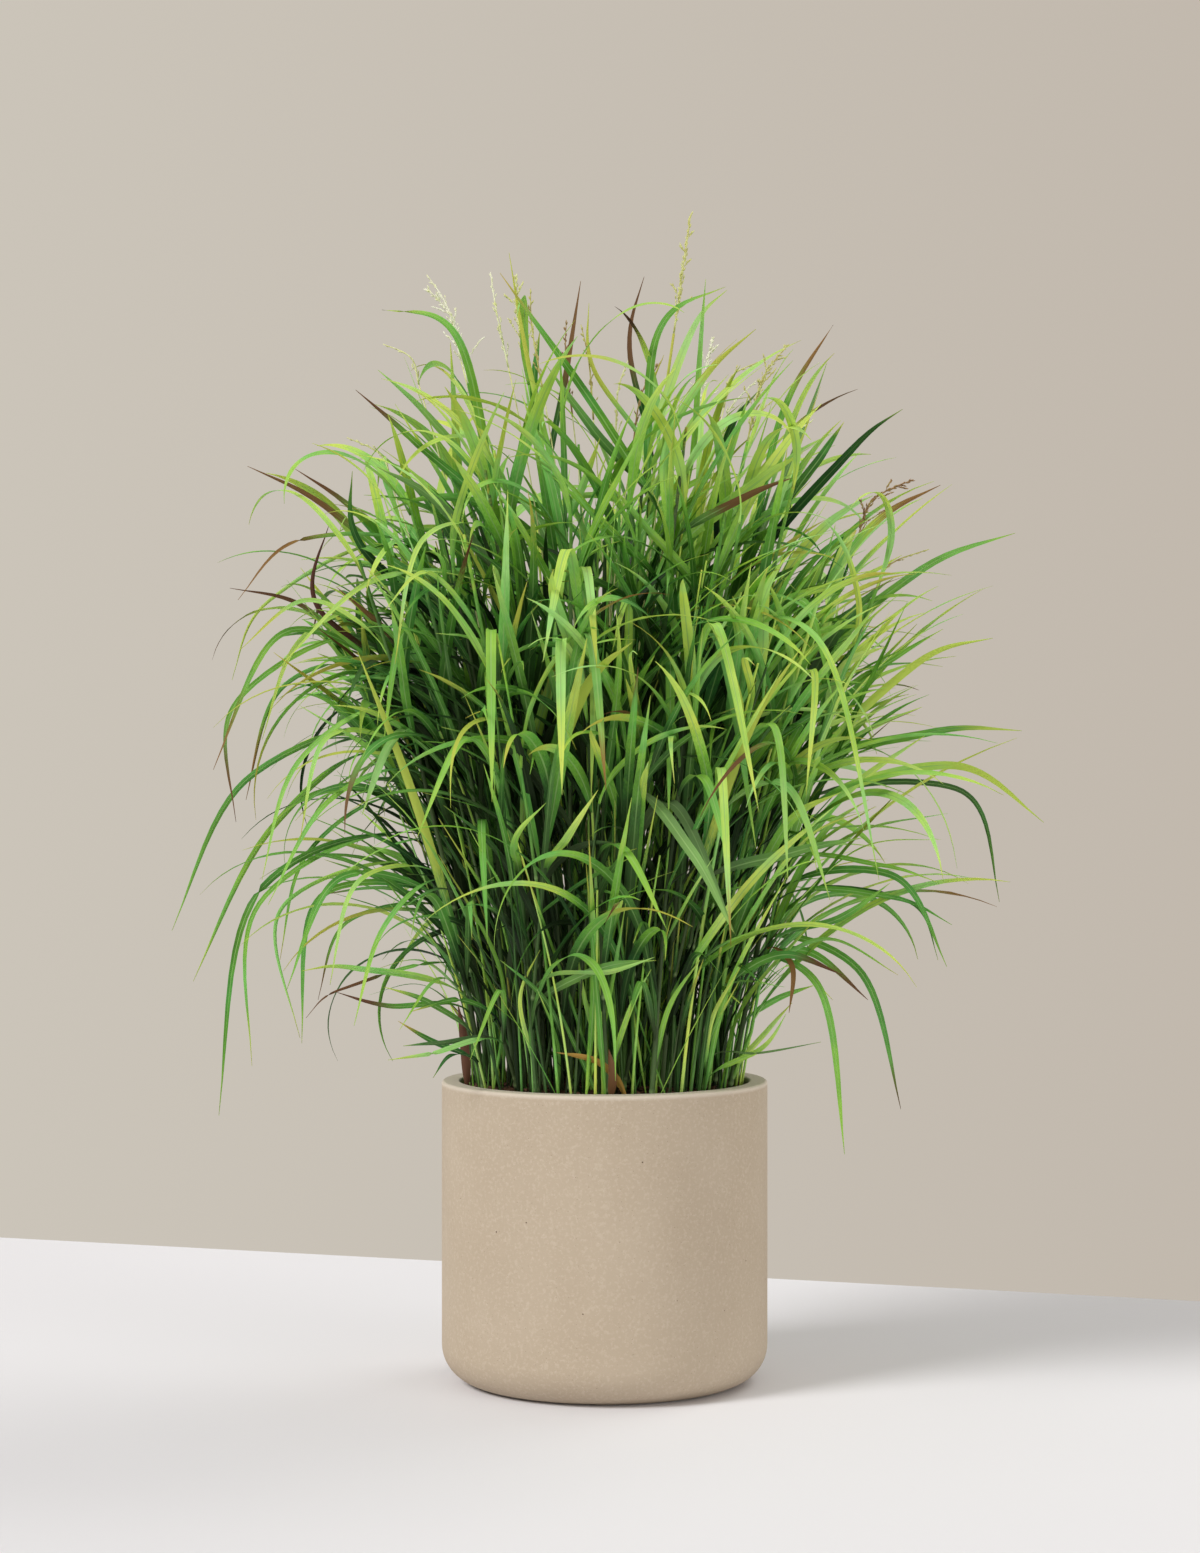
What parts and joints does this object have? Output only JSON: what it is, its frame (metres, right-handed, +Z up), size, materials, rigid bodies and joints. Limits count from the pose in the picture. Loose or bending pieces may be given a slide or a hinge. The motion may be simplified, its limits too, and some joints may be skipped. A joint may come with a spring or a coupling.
{
  "type": "switchgrass in a pot",
  "caption": "Clump of switchgrass with arching blades and thin flower heads, growing in a plain round straight-sided stone-coloured pot.",
  "frame": {"origin": "centre of the flat underside of the pot, where it rests on the floor", "axes": "+Z up along the pot's axis, +X to the plant's right in the picture, -Y to the front"},
  "size_m": [0.93, 0.7819, 1.2485],
  "materials": {
    "pot": "matte",
    "soil": "matte",
    "foliage": "satin",
    "flower": "matte",
    "withered": "matte"
  },
  "bodies": {
    "root": {"dry_leaf": "withered", "dry_sheath": "withered", "flower_head_1": "flower", "flower_head_2": "flower", "flower_head_3": "flower", "flower_head_4": "flower", "flower_head_5": "flower", "flower_head_6": "flower", "leafy_stem_01": "foliage", "leafy_stem_02": "foliage", "leafy_stem_03": "foliage", "leafy_stem_04": "foliage", "leafy_stem_05": "foliage", "leafy_stem_06": "foliage", "leafy_stem_07": "foliage", "leafy_stem_08": "foliage", "leafy_stem_09": "foliage", "leafy_stem_10": "foliage", "leafy_stem_11": "foliage", "leafy_stem_12": "foliage", "leafy_stem_13": "foliage", "leafy_stem_14": "foliage", "leafy_stem_15": "foliage", "leafy_stem_16": "foliage", "leafy_stem_17": "foliage", "leafy_stem_18": "foliage", "leafy_stem_19": "foliage", "leafy_stem_20": "foliage", "leafy_stem_21": "foliage", "leafy_stem_22": "foliage", "leafy_stem_23": "foliage", "leafy_stem_24": "foliage", "leafy_stem_25": "foliage", "leafy_stem_26": "foliage", "leafy_stem_27": "foliage", "leafy_stem_28": "foliage", "leafy_stem_29": "foliage", "leafy_stem_30": "foliage", "leafy_stem_31": "foliage", "leafy_stem_32": "foliage", "leafy_stem_33": "foliage", "leafy_stem_34": "foliage", "leafy_stem_35": "foliage", "leafy_stem_36": "foliage", "leafy_stem_37": "foliage", "leafy_stem_38": "foliage", "leafy_stem_39": "foliage", "leafy_stem_40": "foliage", "leafy_stem_41": "foliage", "leafy_stem_42": "foliage", "leafy_stem_43": "foliage", "leafy_stem_44": "foliage", "leafy_stem_45": "foliage", "leafy_stem_46": "foliage", "leafy_stem_47": "foliage", "leafy_stem_48": "foliage", "pot": "pot", "soil": "soil", "withered_sheath": "withered"}
  },
  "joints": []
}
